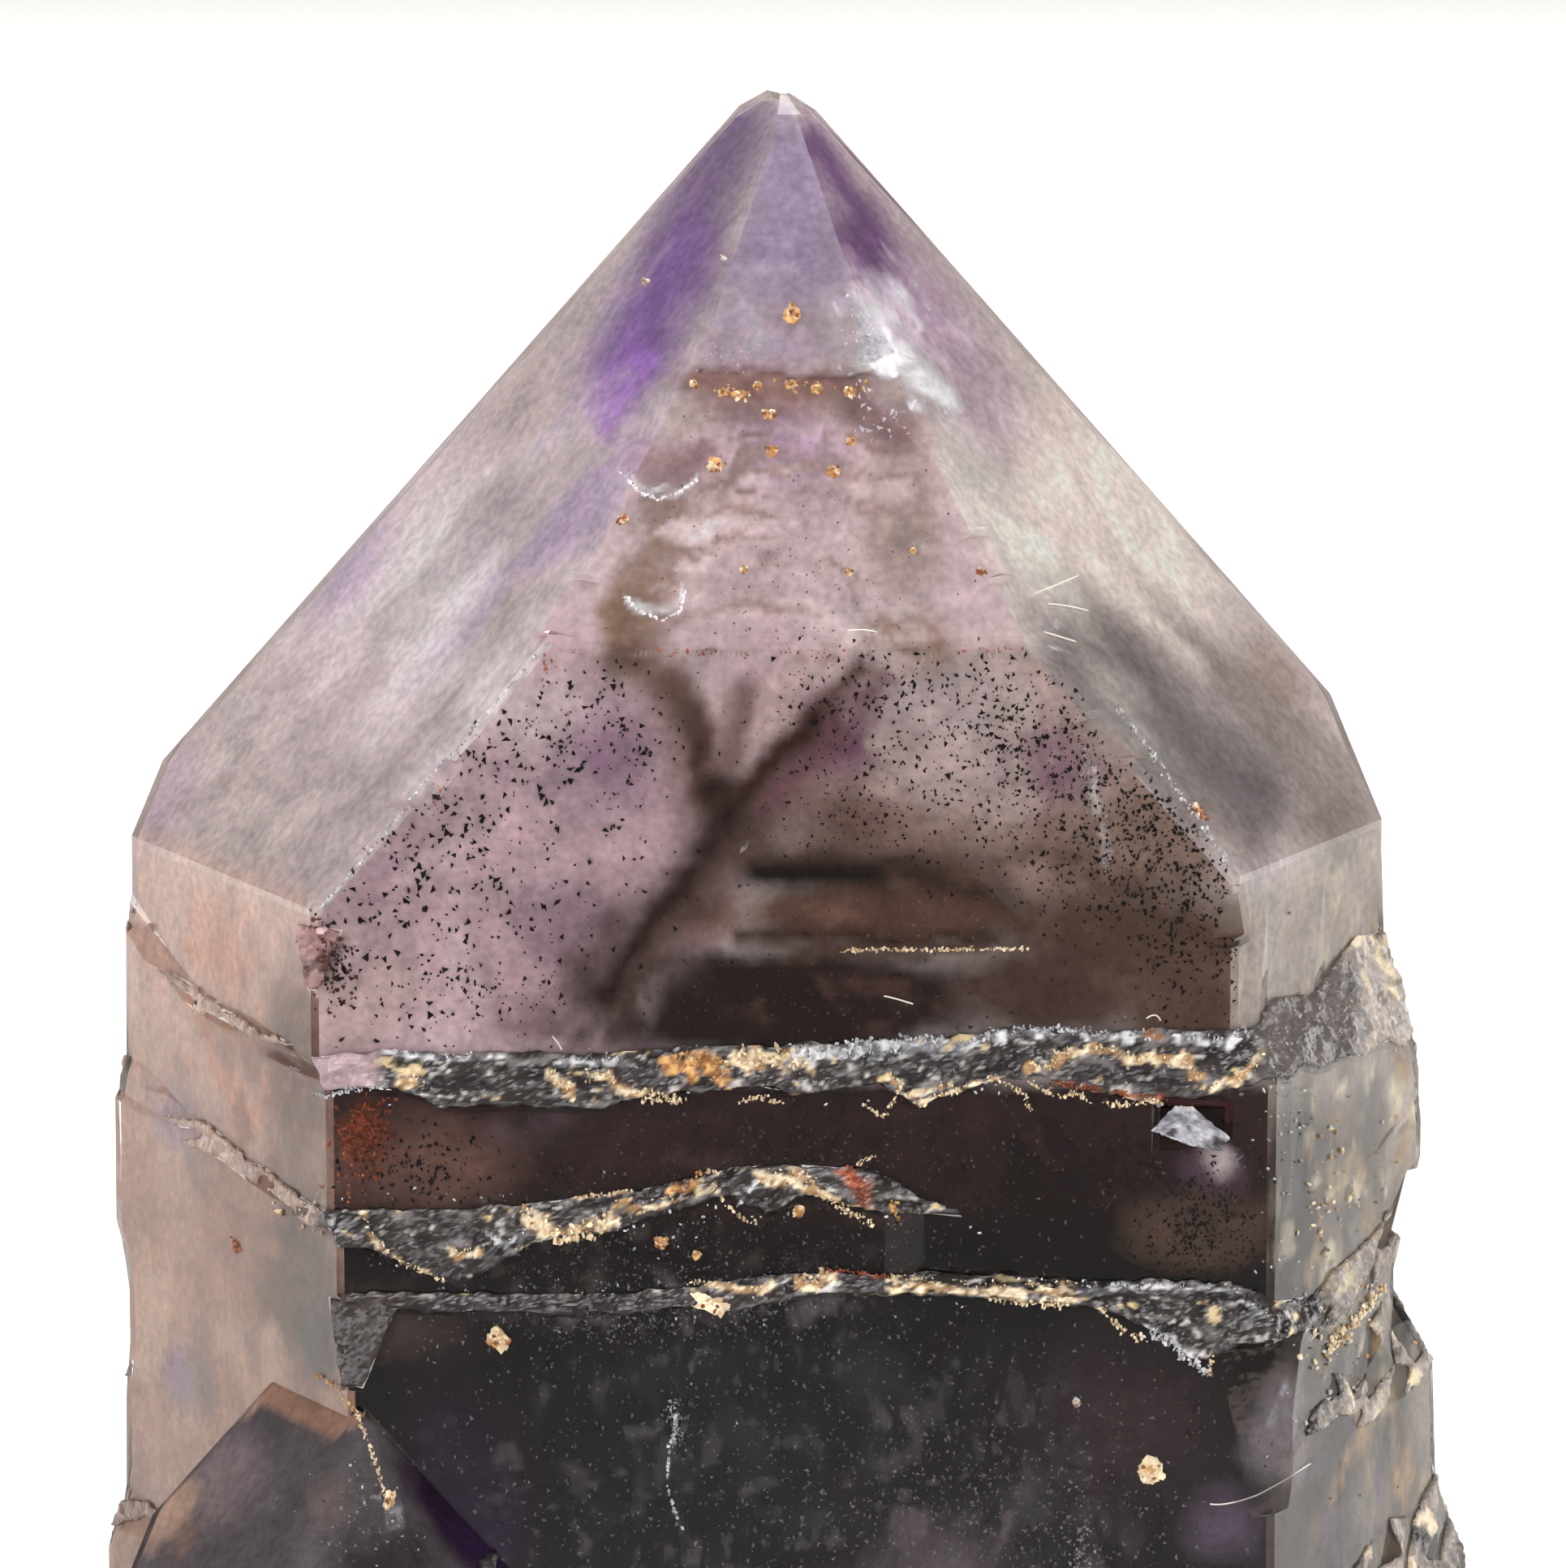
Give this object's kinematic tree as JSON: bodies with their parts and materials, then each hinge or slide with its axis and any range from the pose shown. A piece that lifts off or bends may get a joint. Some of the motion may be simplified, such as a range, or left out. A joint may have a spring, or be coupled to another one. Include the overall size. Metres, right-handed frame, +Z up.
{
  "type": "phantom quartz point",
  "caption": "Upright smoky amethyst quartz point with stepped growth ledges, inner phantoms and a smaller crystal grown on at its lower front, cut flat to stand.",
  "frame": {"origin": "centre of the flat cut base, on the main crystal's long axis", "axes": "+Z up along the crystal's long axis to its tip, -Y out of the wide front face with the growth ledges, +X to the right as the front face is looked at"},
  "size_m": [0.0314, 0.0283, 0.056],
  "materials": {
    "smoky_amethyst_quartz": "natural glossy crystal faces, clear to hazy, with rough glassy ledges and cream and rust coloured residue in them"
  },
  "bodies": {
    "root": {"crystal_point": "smoky_amethyst_quartz"}
  },
  "joints": []
}
